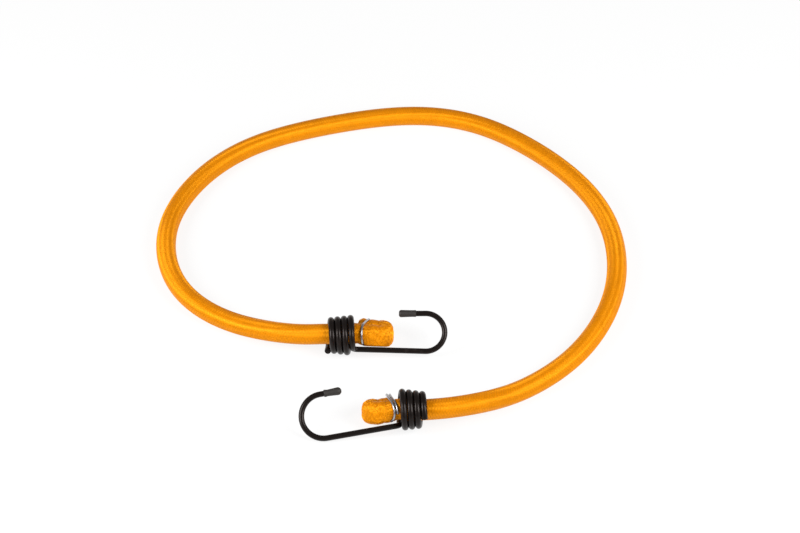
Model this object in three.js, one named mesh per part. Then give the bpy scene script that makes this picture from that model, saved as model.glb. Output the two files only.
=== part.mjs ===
import * as THREE from "three";

// Bungee cord lying on a table: a braided cover round a bundle of square rubber threads.
// Each end passes through the coil of a wire hook, folds back on itself and is clamped by a wire ring.
// Millimetres, +Z up. The origin is on the table, midway between the two hooks.

// Cord
const cord_diameter = 8.2;
const cover_wall = 0.5;
const thread_rows = 5;
const thread_gap = 0.24;
const thread_clearance = 0.4;
const cord_sides = 12;
// the underside is flat where the cord lies on the table, a tenth of its diameter deep
const underside_cut_share = 0.1;

// Folded ends of the cord
const fold_length = 11.45;
const leg_gap = 0.44;
const leg_past_ring = 1.4;
const leg_thickness_share = 0.8;
const leg_width_share = 0.96;
const pinch_width_share = 0.88;
const fold_thickness_share = 0.73;
const fold_width_share = 1.14;
const fold_drop_deg = 33;
const fold_steps = 8;

// Hook wire
const wire_diameter = 2.2;
const wire_sides = 6;
const coil_gap = 0.4;
const coil_clearance_back = 0.8;
const coil_clearance_mouth = 1.95;
const coil_steps_per_turn = 24;
const shank_bend_radius = 2.2;
// over this share of a turn the coil closes in towards the shank
const closing_turn_share = 0.25;
const shank_bend_steps = 5;
const hook_bend_steps = 16;
const hook_lean_deg = 38;

// Tip caps
const cap_length = 6.9;
const cap_wall = 0.3;
const cap_clearance = 0.15;
const cap_end_wall = 0.6;
const cap_edge_radius = 0.25;
const cap_sides = 12;
const cap_round_steps = 3;

// Clamping rings
const ring_wire_diameter = 1.0;
const ring_clearance = 0.4;
const ring_gap = 0.2;
const ring_turns = 1.35;
const ring_steps_per_turn = 24;
const ring_tilt_share = 0.25;

// The two ends: where each ring's middle lies, which way the fold points, and each hook's own bending
const ends = [
  {
    letter: "a",
    ring_x: -3.5,
    axis_y: 19.9,
    outward: 1,
    fold_droop: 0.4,
    coil_to_ring: 4.65,
    coil_turns: 3.92,
    coil_sag: 0.55,
    shank_inset: 1.55,
    shank_splay_deg: 1.6,
    shank_length: 26.5,
    bend_radius: 7.6,
    bend_sweep_deg: 182,
    tip_length: 10.7,
    ring_start_deg: 262,
    ring_winding: 1,
  },
  {
    letter: "b",
    ring_x: 6.95,
    axis_y: -20.4,
    outward: -1,
    fold_droop: 0.7,
    coil_to_ring: 2.95,
    coil_turns: 3.8,
    coil_sag: 0,
    shank_inset: 1,
    shank_splay_deg: 9.9,
    shank_length: 25.8,
    bend_radius: 8.6,
    bend_sweep_deg: 180,
    tip_length: 8.5,
    ring_start_deg: 60,
    ring_winding: -1,
  },
];

// Sizes that follow from those above
const cord_radius = cord_diameter / 2;
const lying_height = cord_radius - cord_diameter * underside_cut_share;
const core_radius = cord_radius - cover_wall;
// the threads are a square block without its four corners, so its farthest corners bound their pitch
const thread_pitch = (core_radius - thread_clearance) / Math.hypot(thread_rows / 2, thread_rows / 2 - 1);
const thread_side = thread_pitch - thread_gap;
const leg_half_thickness = cord_radius * leg_thickness_share;
const leg_half_width = cord_radius * leg_width_share;
const pinch_half_width = cord_radius * pinch_width_share;
const fold_half_thickness = cord_radius * fold_thickness_share;
const fold_half_width = cord_radius * fold_width_share;
const leg_spacing = 2 * leg_half_thickness + leg_gap;
const fold_centre = fold_length - leg_spacing / 2 - fold_half_thickness;
const wire_radius = wire_diameter / 2;
const coil_pitch = wire_diameter + coil_gap;
const coil_radius_back = cord_radius + coil_clearance_back + wire_radius;
const coil_radius_mouth = cord_radius + coil_clearance_mouth + wire_radius;
const ring_radius = ring_wire_diameter / 2;
const ring_pitch = ring_wire_diameter + ring_gap;
const ring_half_thickness = leg_half_thickness + ring_clearance + ring_radius;
const ring_half_width = pinch_half_width + ring_clearance + ring_radius;
// the ring leans, so it pinches the front leg this far behind its middle and the other this far before it
const pinch_place = (ring_tilt_share * (leg_spacing + ring_half_thickness)) / 2;
// how far past the ring's middle its wire reaches towards the fold
const ring_lean = ring_tilt_share * (leg_spacing / 2 + ring_half_thickness);
const ring_reach = ring_lean + (ring_pitch * ring_turns) / 2 + ring_radius;

// Each end stands on its ring, which goes round the lower leg of the fold
const radians = THREE.MathUtils.degToRad;
const fold_drop = radians(fold_drop_deg);
const ring_depth = Math.hypot(
  ring_half_thickness * Math.sin(fold_drop),
  ring_half_width * Math.cos(fold_drop),
);
const axis_height = leg_spacing * Math.sin(fold_drop) + ring_depth + ring_radius;

// Route of the free cord, from the back of hook a's coil to that of hook b's, chosen by hand
const route = [
  [-26.8, 20, 8.4],
  [-38.3, 22.4, 7],
  [-48.8, 26.8, 4.9],
  [-57.4, 31.1, 3.7],
  [-65.6, 35.7, lying_height],
  [-79.5, 49.8, lying_height],
  [-86.9, 68.9, lying_height],
  [-87.1, 89.3, lying_height],
  [-80.5, 108.7, lying_height],
  [-68.8, 125.6, lying_height],
  [-53.2, 138.5, lying_height],
  [-34.5, 147.3, lying_height],
  [-14.9, 153.3, lying_height],
  [5.3, 157.3, lying_height],
  [25.8, 157.5, lying_height],
  [45.4, 151.9, lying_height],
  [62.7, 140.8, lying_height],
  [77.7, 126.6, lying_height],
  [89.9, 110.1, lying_height],
  [98, 91.1, lying_height],
  [100.8, 70.6, lying_height],
  [98.7, 50, lying_height],
  [91.8, 30.5, lying_height],
  [80.6, 13, lying_height],
  [65.9, -0.8, lying_height],
  [56.8, -6.6, 3.7],
  [48.7, -11.2, 4.9],
  [38.7, -16, 7],
  [27.2, -19.4, 8.4],
];

const world_up = new THREE.Vector3(0, 0, 1);

// Materials
const material = (color, roughness, metalness) => () =>
  new THREE.MeshStandardMaterial({ color, roughness, metalness });
const cover_material = material(0xf0a01e, 0.75, 0);
const thread_material = material(0xe6dcc3, 0.9, 0);
const hook_material = material(0x141314, 0.38, 0);
const cap_material = material(0x222123, 0.7, 0);
const ring_material = material(0xc9ccd0, 0.28, 1);

// A station is a cross-section's place: its middle and the two directions that its outline is drawn in.
// The first direction crossed with the second points along the sweep.
function station(at, along, up) {
  const across = new THREE.Vector3().crossVectors(up, along).normalize();
  const raised = new THREE.Vector3().crossVectors(along, across).normalize();
  return { at, across, up: raised };
}

function placed(place, x, y) {
  return place.at.clone().addScaledVector(place.across, x).addScaledVector(place.up, y);
}

// The direction along a line of points at each of them
function directions(points) {
  return points.map((point, i) => {
    const before = points[Math.max(i - 1, 0)];
    const after = points[Math.min(i + 1, points.length - 1)];
    return after.clone().sub(before).normalize();
  });
}

// Joins loops of points, one per station, into a closed solid. With inner loops it is a pipe.
function skin(loops, inner_loops = null) {
  const count = loops[0].length;
  const all = inner_loops ? [...loops, ...inner_loops] : loops;
  const positions = all.flat().flatMap((point) => point.toArray());
  const index = [];
  const last = loops.length - 1;
  const quad = (a, b, c, d) => index.push(a, b, c, a, c, d);
  const corner = (loop, i) => loop * count + (i % count);
  const inner = (loop, i) => (loops.length + loop) * count + (i % count);
  for (let loop = 0; loop < last; loop += 1) {
    for (let i = 0; i < count; i += 1) {
      quad(corner(loop, i), corner(loop, i + 1), corner(loop + 1, i + 1), corner(loop + 1, i));
      if (inner_loops) {
        quad(inner(loop, i + 1), inner(loop, i), inner(loop + 1, i), inner(loop + 1, i + 1));
      }
    }
  }
  if (inner_loops) {
    for (let i = 0; i < count; i += 1) {
      quad(corner(0, i), inner(0, i), inner(0, i + 1), corner(0, i + 1));
      quad(corner(last, i), corner(last, i + 1), inner(last, i + 1), inner(last, i));
    }
  } else {
    for (let i = 1; i < count - 1; i += 1) {
      index.push(corner(0, 0), corner(0, i + 1), corner(0, i));
      index.push(corner(last, 0), corner(last, i), corner(last, i + 1));
    }
  }
  const geometry = new THREE.BufferGeometry();
  geometry.setAttribute("position", new THREE.Float32BufferAttribute(positions, 3));
  geometry.setIndex(index);
  geometry.computeVertexNormals();
  return geometry;
}

function piece(name, geometry, material) {
  const mesh = new THREE.Mesh(geometry, material);
  mesh.name = name;
  return mesh;
}

// An end's own frame: along the coil's axis out to the fold, across to the folded-back leg, and up.
// Past the ring the legs droop a little towards the fold.
function endFrame(end) {
  const along = new THREE.Vector3(end.outward, 0, 0);
  const aside = new THREE.Vector3(0, Math.cos(fold_drop), -Math.sin(fold_drop));
  const up = new THREE.Vector3(0, Math.sin(fold_drop), Math.cos(fold_drop));
  const origin = new THREE.Vector3(end.ring_x, end.axis_y, axis_height);
  const point = (a, c, b) => {
    const past_ring = (a - ring_reach) / (fold_centre - ring_reach);
    const droop = end.fold_droop * THREE.MathUtils.clamp(past_ring, 0, 1);
    return origin
      .clone()
      .addScaledVector(along, a)
      .addScaledVector(aside, c)
      .addScaledVector(up, b - droop);
  };
  return { along, aside, up, point };
}

// Cross-sections of the cord: how far it is pressed flat, and how much of its underside is flat
const round_angle = Math.PI / cord_sides;
const lying_angle = Math.acos(lying_height / cord_radius);
const round_section = { thick: cord_radius, wide: cord_radius, flat: round_angle };
const lying_section = { thick: cord_radius, wide: cord_radius, flat: lying_angle };
const leg_section = { thick: leg_half_thickness, wide: leg_half_width, flat: round_angle };
const pinch_section = { thick: leg_half_thickness, wide: pinch_half_width, flat: round_angle };
const fold_section = { thick: fold_half_thickness, wide: fold_half_width, flat: round_angle };

function mixSections(first, second, share) {
  return {
    thick: THREE.MathUtils.lerp(first.thick, second.thick, share),
    wide: THREE.MathUtils.lerp(first.wide, second.wide, share),
    flat: THREE.MathUtils.lerp(first.flat, second.flat, share),
  };
}

// Outline of the cord at a station, drawn in by an inset. Its ends bound the flat underside.
function cordOutline(place, inset) {
  const { thick, wide, flat } = place.section;
  const sweep = 2 * Math.PI - 2 * flat;
  return Array.from({ length: cord_sides }, (_, i) => {
    const angle = -Math.PI / 2 + flat + (sweep * i) / (cord_sides - 1);
    return placed(place, (thick - inset) * Math.cos(angle), (wide - inset) * Math.sin(angle));
  });
}

// Outline of one rubber thread, whose place and side follow how the cord is pressed
function threadOutline(place, column, row) {
  const squeeze_x = (place.section.thick - cover_wall) / core_radius;
  const squeeze_y = (place.section.wide - cover_wall) / core_radius;
  const corners = [[-1, -1], [1, -1], [1, 1], [-1, 1]];
  return corners.map(([sign_x, sign_y]) => {
    const x = column * thread_pitch + (sign_x * thread_side) / 2;
    const y = row * thread_pitch + (sign_y * thread_side) / 2;
    return placed(place, x * squeeze_x, y * squeeze_y);
  });
}

// One end of the cord, from its cut end round the fold to the back of the hook's coil
function endStations(end) {
  const frame = endFrame(end);
  const coil_length = end.coil_turns * coil_pitch;
  const places = [];
  const add = (a, c, direction, section) => {
    const place = station(frame.point(a, c, 0), direction, frame.up);
    places.push({ ...place, section });
  };
  const outward = frame.along;
  const inward = frame.along.clone().negate();
  add(-leg_past_ring, leg_spacing, outward, leg_section);
  add(pinch_place, leg_spacing, outward, pinch_section);
  add(ring_reach, leg_spacing, outward, leg_section);
  for (let step = 0; step <= fold_steps; step += 1) {
    const angle = (Math.PI * step) / fold_steps;
    const a = fold_centre + (leg_spacing / 2) * Math.sin(angle);
    const c = (leg_spacing / 2) * (1 + Math.cos(angle));
    const direction = outward.clone().multiplyScalar(Math.cos(angle));
    direction.addScaledVector(frame.aside, -Math.sin(angle));
    const fullness = (1 + Math.sin(angle)) / 2;
    add(a, c, direction, mixSections(leg_section, fold_section, fullness));
  }
  add(ring_reach, 0, inward, leg_section);
  add(-pinch_place, 0, inward, pinch_section);
  add(-end.coil_to_ring - coil_pitch, 0, inward, round_section);
  add(-end.coil_to_ring - coil_length, 0, inward, round_section);
  return places;
}

// Run backwards, an end's stations keep their up direction, so their first direction turns over
function reversed(places) {
  return places.toReversed().map((place) => ({ ...place, across: place.across.clone().negate() }));
}

function cordStations() {
  const first = endStations(ends[0]);
  const last = reversed(endStations(ends[1]));
  const points = route.map((numbers) => new THREE.Vector3(...numbers));
  const line = [first.at(-1).at, ...points, last[0].at];
  const along = directions(line);
  const up = endFrame(ends[0]).up;
  const top = points[0].z;
  const free = points.map((point, i) => {
    const raised = THREE.MathUtils.clamp((point.z - lying_height) / (top - lying_height), 0, 1);
    const lean = world_up.clone().lerp(up, raised).normalize();
    const place = station(point, along[i + 1], lean);
    return { ...place, section: mixSections(lying_section, round_section, raised) };
  });
  return [...first, ...free, ...last];
}

const cord_stations = cordStations();

function makeCover() {
  const outer = cord_stations.map((place) => cordOutline(place, 0));
  const inner = cord_stations.map((place) => cordOutline(place, cover_wall));
  return piece("braided_cover", skin(outer, inner), cover_material());
}

// The threads fill the cover in rows, without the four corners of the block
function makeThreads() {
  const reach = (thread_rows - 1) / 2;
  const threads = [];
  for (let row = -reach; row <= reach; row += 1) {
    for (let column = -reach; column <= reach; column += 1) {
      if (Math.abs(row) === reach && Math.abs(column) === reach) {
        continue;
      }
      const loops = cord_stations.map((place) => threadOutline(place, column, row));
      const number = String(threads.length + 1).padStart(2, "0");
      threads.push(piece(`rubber_thread_${number}`, skin(loops), thread_material()));
    }
  }
  return threads;
}

// Outline of a round wire at a station
function wireOutline(place, radius) {
  return Array.from({ length: wire_sides }, (_, i) => {
    const angle = (2 * Math.PI * i) / wire_sides;
    return placed(place, radius * Math.cos(angle), radius * Math.sin(angle));
  });
}

// Carries the first station's up direction along the line of points without twisting it
function carriedStations(points, first_up) {
  const along = directions(points);
  let up = first_up.clone();
  return points.map((point, i) => {
    const place = station(point, along[i], up);
    up = place.up;
    return place;
  });
}

// Centre line of a hook: the wire's cut end, its coil, the bend into the shank, the hook's bend, the tip
function hookLine(end) {
  const frame = endFrame(end);
  const lean = radians(hook_lean_deg);
  const facing = new THREE.Vector3(0, -Math.sin(lean), Math.cos(lean));
  const tip_side = new THREE.Vector3(0, Math.cos(lean), Math.sin(lean));
  const shank_side = tip_side.clone().negate();
  // the coil hangs a little down and forward on the cord
  const sagging = new THREE.Vector3(0, -1, -1).normalize();
  const quarter = new THREE.Vector3().crossVectors(frame.along, facing);
  const shank_angle = quarter.dot(shank_side) > 0 ? Math.PI / 2 : (3 * Math.PI) / 2;
  const swept = 2 * Math.PI * end.coil_turns;
  const closing_start = 1 - closing_turn_share / end.coil_turns;
  const coilPoint = (share) => {
    const angle = shank_angle - swept * (1 - share);
    const closing = THREE.MathUtils.smoothstep(share, closing_start, 1);
    const plain_radius = THREE.MathUtils.lerp(coil_radius_back, coil_radius_mouth, share);
    const radius = plain_radius - end.shank_inset * closing;
    const a = -end.coil_to_ring - coil_pitch * end.coil_turns * (1 - share);
    return frame.point(a, 0, 0)
      .addScaledVector(sagging, end.coil_sag)
      .addScaledVector(facing, radius * Math.cos(angle))
      .addScaledVector(quarter, radius * Math.sin(angle));
  };
  // the last part of the coil turns into the shank
  const bend_share = 1 - shank_bend_radius / (coil_radius_mouth * swept);
  const coil_steps = Math.round(end.coil_turns * coil_steps_per_turn);
  const coil = Array.from({ length: coil_steps + 1 }, (_, i) => coilPoint((bend_share * i) / coil_steps));
  const start_direction = coil[0].clone().sub(coil[1]).normalize();
  const cut_end = coil[0].clone().addScaledVector(start_direction, wire_diameter);
  const splay = radians(end.shank_splay_deg);
  const shank_direction = frame.along.clone().multiplyScalar(Math.cos(splay));
  shank_direction.addScaledVector(shank_side, Math.sin(splay));
  const shank_corner = coilPoint(1);
  const shank_start = shank_corner.clone().addScaledVector(shank_direction, shank_bend_radius);
  const turn = new THREE.QuadraticBezierCurve3(coil.at(-1), shank_corner, shank_start);
  const turn_points = turn.getPoints(shank_bend_steps).slice(1);
  const bend_start = shank_start.clone().addScaledVector(shank_direction, end.shank_length);
  const inside = frame.along.clone().multiplyScalar(Math.sin(splay));
  inside.addScaledVector(tip_side, Math.cos(splay));
  const bend_centre = bend_start.clone().addScaledVector(inside, end.bend_radius);
  const bendPoint = (angle) => bend_centre.clone()
    .addScaledVector(shank_direction, end.bend_radius * Math.sin(angle))
    .addScaledVector(inside, -end.bend_radius * Math.cos(angle));
  const bend_sweep = radians(end.bend_sweep_deg);
  const bend_step = bend_sweep / hook_bend_steps;
  const bend = Array.from({ length: hook_bend_steps + 1 }, (_, i) => bendPoint(bend_step * i));
  const tip_direction = shank_direction.clone().multiplyScalar(Math.cos(bend_sweep));
  tip_direction.addScaledVector(inside, Math.sin(bend_sweep));
  const wire_tip_length = end.tip_length - cap_end_wall - cap_clearance;
  const tip = bend.at(-1).clone().addScaledVector(tip_direction, wire_tip_length);
  return { points: [cut_end, ...coil, ...turn_points, ...bend, tip], coil, tip, tip_direction };
}

// Least gap between the coil's turns, measured on the points of its wire's surface
function leastCoilGap(places) {
  const step_length = places[1].at.distanceTo(places[2].at);
  const apart = Math.ceil((Math.PI * coil_radius_back) / step_length);
  const loops = places.map((place) => wireOutline(place, wire_radius));
  let least = Infinity;
  loops.forEach((loop, i) => {
    loops.slice(i + apart).forEach((other) => {
      loop.forEach((point) => other.forEach((far) => {
        least = Math.min(least, point.distanceTo(far));
      }));
    });
  });
  return least;
}

function makeHook(end) {
  const line = hookLine(end);
  const first_up = line.points[1].clone().sub(endFrame(end).point(0, 0, 0));
  const places = carriedStations(line.points, first_up);
  const gap = leastCoilGap(places.slice(0, line.coil.length + 1));
  console.log(`hook ${end.letter}: least gap between the coil's turns ${gap.toFixed(2)} mm`);
  const loops = places.map((place) => wireOutline(place, wire_radius));
  return piece(`hook_${end.letter}_wire`, skin(loops), hook_material());
}

// A cap is a sleeve with a rounded closed end, turned about its own axis, with its closed end last
function makeCap(end) {
  const line = hookLine(end);
  const bore = wire_radius + cap_clearance;
  const outside = bore + cap_wall;
  const floor = cap_length - cap_end_wall;
  const profile = [
    new THREE.Vector2(0, floor),
    new THREE.Vector2(bore, floor),
    new THREE.Vector2(bore, 0),
    new THREE.Vector2(outside, 0),
  ];
  for (let step = 0; step <= cap_round_steps; step += 1) {
    const angle = (Math.PI / 2) * (step / cap_round_steps);
    const x = outside - cap_edge_radius * (1 - Math.cos(angle));
    const y = cap_length - cap_edge_radius * (1 - Math.sin(angle));
    profile.push(new THREE.Vector2(x, y));
  }
  profile.push(new THREE.Vector2(0, cap_length));
  const geometry = new THREE.LatheGeometry(profile, cap_sides);
  const cap = piece(`tip_cap_${end.letter}`, geometry, cap_material());
  const lathe_axis = new THREE.Vector3(0, 1, 0);
  cap.quaternion.setFromUnitVectors(lathe_axis, line.tip_direction);
  cap.position.copy(line.tip).addScaledVector(line.tip_direction, cap_clearance - floor);
  return cap;
}

// A ring goes round both legs of the fold, a little more than once, and leans towards the fold at the
// folded-back leg
function makeRing(end) {
  const frame = endFrame(end);
  const steps = Math.round(ring_turns * ring_steps_per_turn);
  const side_step = Math.sin((2 * Math.PI) / ring_steps_per_turn);
  const points = Array.from({ length: steps + 1 }, (_, i) => {
    const turn = i / ring_steps_per_turn;
    const angle = radians(end.ring_start_deg) + 2 * Math.PI * turn;
    const side = THREE.MathUtils.clamp(Math.cos(angle) / side_step, -1, 1);
    const c = ring_half_thickness * Math.cos(angle) + (leg_spacing * (1 + side)) / 2;
    const b = ring_half_width * Math.sin(angle);
    const wound = end.ring_winding * ring_pitch * (turn - ring_turns / 2);
    const a = wound + ring_tilt_share * (c - leg_spacing / 2);
    return frame.point(a, c, b);
  });
  const places = carriedStations(points, frame.along);
  const loops = places.map((place) => wireOutline(place, ring_radius));
  return piece(`clamp_ring_${end.letter}`, skin(loops), ring_material());
}

const bungee_cord = new THREE.Group();
bungee_cord.name = "bungee_cord";
bungee_cord.add(makeCover(), ...makeThreads());
ends.forEach((end) => bungee_cord.add(makeHook(end), makeCap(end), makeRing(end)));

export default bungee_cord;
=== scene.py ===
import math

import bpy
import numpy as np
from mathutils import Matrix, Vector, noise


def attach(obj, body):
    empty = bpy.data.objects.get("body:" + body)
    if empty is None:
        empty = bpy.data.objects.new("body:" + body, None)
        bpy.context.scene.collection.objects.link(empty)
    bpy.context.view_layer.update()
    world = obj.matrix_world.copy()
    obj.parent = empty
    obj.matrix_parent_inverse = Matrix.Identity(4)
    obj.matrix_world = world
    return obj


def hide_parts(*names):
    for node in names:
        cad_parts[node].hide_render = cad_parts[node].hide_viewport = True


# Bungee cord lying on a table: a braided cover round a bundle of latex threads. Each end goes
# through the coil of a wire hook, folds back on itself and is clamped by a wire ring. Lengths are
# in metres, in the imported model's frame.

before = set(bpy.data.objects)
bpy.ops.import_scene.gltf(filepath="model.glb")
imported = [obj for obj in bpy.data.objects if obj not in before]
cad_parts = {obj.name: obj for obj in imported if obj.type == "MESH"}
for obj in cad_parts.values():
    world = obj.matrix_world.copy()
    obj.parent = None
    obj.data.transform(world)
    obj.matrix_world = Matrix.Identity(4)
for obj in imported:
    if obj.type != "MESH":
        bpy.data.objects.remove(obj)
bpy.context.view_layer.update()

# ---------------------------------------------------------------- camera

camera_target = Vector((0.01045, 0.0668, 0))
camera_distance = 0.929
camera_tilt = math.radians(45)
camera_lens_mm = 100
sensor_width_mm = 36


def add_camera():
    data = bpy.data.cameras.new("camera")
    data.lens = camera_lens_mm
    data.sensor_width = sensor_width_mm
    camera = bpy.data.objects.new("camera", data)
    camera.rotation_euler = (camera_tilt, 0, 0)
    backwards = Vector((0, -math.sin(camera_tilt), math.cos(camera_tilt)))
    camera.location = camera_target + camera_distance * backwards
    bpy.context.collection.objects.link(camera)
    bpy.context.scene.camera = camera


add_camera()

# ---------------------------------------------------------------- sizes

# Cord
cord_diameter = 0.0082
cord_radius = cord_diameter / 2
cover_wall = 0.0005
# height of the cord's middle where its underside is pressed onto the table, a little less flat
# than that of its solid
lying_height = 0.0037
# what would pass the table or a hook ends within this depth of it
press_depth = 0.00015
line_steps_per_point = 64
# sections change without corners, over about this length
section_smoothing = 0.002
smoothing_taps = 15
direction_reach = 0.0002
path_points = 400

# Braid: yarns run both ways round the cord, and each goes over two of the others and under two
ridge_pitch = 0.00107
yarns_each_way = 12
yarn_float = 2
# shift, in yarns, that takes the other way's yarns under where the first way's go over
crossing_shift = 3
yarn_lift = 0.00003
yarn_round = 0.00006
# how round a yarn's top is, where 2 is a whole half round
yarn_curve = 1.8
columns_round = 4 * yarns_each_way
rows_per_ridge = 4
filaments_across = 9
# how fast the filaments change along a yarn, and the share of a turn by which they lie off the
# round of the cord, which is 21 degrees
filament_change = 1.1
filament_turn = 0.0583

# Folded ends, where places along an end are counted from its ring towards the fold
leg_spacing = 0.0070
fold_centre = 0.004957
fold_steps = 8
ring_reach = 0.00323
pinch_place = 0.0013975
bulge_start = 0.0020
# angle by which the folded-back leg lies below the front leg
fold_drop = math.radians(33)
# height of the coils' axes, on which the front legs and the hooks' hinges lie
axis_height = 0.0087257

# Half sizes of a folded end's section: outer away from the other leg, inner towards it, and width
# up and down. The power of its outline is 2 where it is round, and more where it is squarer.
pinched_outer = 0.0036
pinched_width = 0.0041
leg_outer = 0.0037
leg_inner = 0.00347
fold_outer = 0.00299
fold_inner = 0.00340
round_power = 2.0
squeezed_power = 2.3

# Lumps of a folded end's cover, as height, size and seed, their share at the coil's mouth, and
# the least share that is made
cover_lumps = [(0.00014, 0.0021, 3.0), (0.00012, 0.0009, 9.0)]
coil_mouth_lumps = 0.4
least_lumps = 0.01

# Creases that a ring's squeeze gathers in the cover
pleats_round = 15
pleat_depth = 0.00036
pleat_reach = 0.0017
pleat_nearby = 0.012
pleat_sway = 2.4
pleat_sway_size = 0.004
pleat_sway_seed = 21.0

# Pieces of the cover: the seam under a ring, and the mouth of a cut end
end_detail = 2
seam_overlap = 0.0003
mouth_reach = 0.0017
mouth_draw = 0.26
lip_steps = 4
lip_row_length = 0.0002
# inside the lip, how far the wall spreads again and how deep it lies
mouth_lining = [(1.02, 0.0004), (1.03, 0.0012)]

# Hook wire
wire_radius = 0.00113
# the coating lies thicker on the coil, whose turns all but touch
coil_wire_radius = 0.00129
coil_pitch = 0.0026
coil_radius_back = 0.0059
coil_radius_mouth = 0.00705
coil_steps_per_turn = 72
shank_bend_radius = 0.0022
# over this share of a turn the coil closes in towards the shank and its coating thins
closing_turn_share = 0.25
shank_bend_steps = 16
shank_steps = 20
hook_bend_steps = 56
hook_lean = math.radians(38)
wire_sides = 24
wire_chamfer = 0.00022

# Room for the hooks' swing: the cover keeps clear of a shank over its swing and a margin, which
# fades out. The margin and its fading part are in degrees.
shank_clearance = 0.0002
shank_reach = 0.016
swing_margin = 18
swing_fade = 12

# Tip caps
cap_length = 0.0069
cap_end_wall = 0.0006
cap_clearance = 0.00015
cap_sides = 40
cap_wire_gap = 0.00003
# places along a cap from its mouth
cap_lip_height = 0.00019
cap_lip_end = 0.0005
cap_neck = 0.0009
cap_waist_start = 0.0014
cap_body_start = 0.25 * cap_length

# Clamping rings
ring_wire_radius = 0.0005
ring_half_thickness = 0.00418
ring_pitch = 0.0012
ring_turns = 1.35
ring_steps_per_turn = 120
ring_wire_sides = 16
ring_chamfer = 0.00012
# the wire goes from one leg to the other within this angle of straight up and straight down
ring_crossing_angle = 2 * math.pi / 24
ring_clearance = 0.0001
ring_nearby = 0.02

# The two ends: where the ring's middle lies and which way the fold points, and then each end's
# own hook, folded cord, ring and cap. A swing is in degrees from rest, as the joint's range is.
ends = {
    "a": {
        "ring_x": -0.0035,
        "axis_y": 0.0199,
        "outward": 1,
        # hook
        "coil_to_ring": 0.00465,
        "coil_turns": 3.92,
        "coil_sag": 0.00055,
        "shank_inset": 0.00145,
        "shank_splay": math.radians(1.6),
        "shank_length": 0.0265,
        "bend_radius": 0.0076,
        "bend_sweep": math.radians(182),
        "tip_length": 0.0107,
        "swing": (-36, 178),
        # folded cord
        "leg_past_ring": 0.0034,
        "cut_reach": 0.0036,
        "flap_rise": 0.0010,
        "flap_width": 0.0047,
        "pinch_dip": 0.0,
        "leg_width": 0.0040,
        "leg_dip": 0.0,
        "front_leg_width": 0.0045,
        "front_leg_drop": 0.0008,
        "fold_width": 0.00478,
        "fold_power": 2.5,
        "fold_droop": 0.0006,
        # clamping ring
        "ring_start": math.radians(262),
        "ring_winding": 1,
        "ring_slip": 0.0004,
        "ring_top": 0.00418,
        "ring_bottom": 0.00435,
        "ring_bow_top": 0.0,
        "ring_bow_bottom": 0.0,
        "ring_tilt_share": 0.25,
        "ring_tilt_curve": 0.0,
        # tip cap
        "cap_lip": 0.00138,
        "cap_waist": 0.00135,
        "cap_body": 0.00148,
        "cap_rounding": 0.00095,
    },
    "b": {
        "ring_x": 0.00695,
        "axis_y": -0.0204,
        "outward": -1,
        # hook
        "coil_to_ring": 0.00295,
        "coil_turns": 3.8,
        "coil_sag": 0,
        "shank_inset": 0.0009,
        "shank_splay": math.radians(9.9),
        "shank_length": 0.0258,
        "bend_radius": 0.0086,
        "bend_sweep": math.radians(180),
        "tip_length": 0.0085,
        "swing": (-40, 185),
        # folded cord
        "leg_past_ring": 0.0008,
        "cut_reach": 0.0030,
        "flap_rise": -0.0005,
        "flap_width": 0.0040,
        "pinch_dip": 0.0010,
        "leg_width": 0.0038,
        "leg_dip": 0.0015,
        "front_leg_width": 0.0043,
        "front_leg_drop": 0.0009,
        "fold_width": 0.00445,
        "fold_power": 2.7,
        "fold_droop": 0.0005,
        # clamping ring
        "ring_start": math.radians(60),
        "ring_winding": -1,
        "ring_slip": 0.0,
        "ring_top": 0.0039,
        "ring_bottom": 0.004508,
        "ring_bow_top": 0.0003,
        "ring_bow_bottom": 0.0010,
        "ring_tilt_share": 0.178,
        "ring_tilt_curve": 0.186,
        # tip cap
        "cap_lip": 0.00144,
        "cap_waist": 0.00130,
        "cap_body": 0.00155,
        "cap_rounding": 0.0015,
    },
}

# Route of the free cord, from the back of hook a's coil to that of hook b's
route = [
    (-0.0268, 0.0200, 0.0084),
    (-0.0383, 0.0224, 0.0070),
    (-0.0488, 0.0268, 0.0049),
    (-0.0574, 0.0311, lying_height),
    (-0.0656, 0.0357, lying_height),
    (-0.0795, 0.0498, lying_height),
    (-0.0869, 0.0689, lying_height),
    (-0.0871, 0.0893, lying_height),
    (-0.0805, 0.1087, lying_height),
    (-0.0688, 0.1256, lying_height),
    (-0.0532, 0.1385, lying_height),
    (-0.0345, 0.1473, lying_height),
    (-0.0149, 0.1533, lying_height),
    (0.0053, 0.1573, lying_height),
    (0.0258, 0.1575, lying_height),
    (0.0454, 0.1519, lying_height),
    (0.0627, 0.1408, lying_height),
    (0.0777, 0.1266, lying_height),
    (0.0899, 0.1101, lying_height),
    (0.0980, 0.0911, lying_height),
    (0.1008, 0.0706, lying_height),
    (0.0987, 0.0500, lying_height),
    (0.0918, 0.0305, lying_height),
    (0.0806, 0.0130, lying_height),
    (0.0659, -0.0008, lying_height),
    (0.0568, -0.0066, lying_height),
    (0.0487, -0.0112, 0.0049),
    (0.0387, -0.0160, 0.0070),
    (0.0272, -0.0194, 0.0084),
]

# ---------------------------------------------------------------- vectors


def vec(*numbers):
    return np.array(numbers, float)


def unit(vectors):
    return vectors / np.linalg.norm(vectors, axis=-1, keepdims=True)


world_up = vec(0, 0, 1)
# directions of a folded end: across to the folded-back leg, and up
aside = vec(0, math.cos(fold_drop), -math.sin(fold_drop))
end_up = vec(0, math.sin(fold_drop), math.cos(fold_drop))


def end_along(end):
    return vec(end["outward"], 0, 0)


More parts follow.
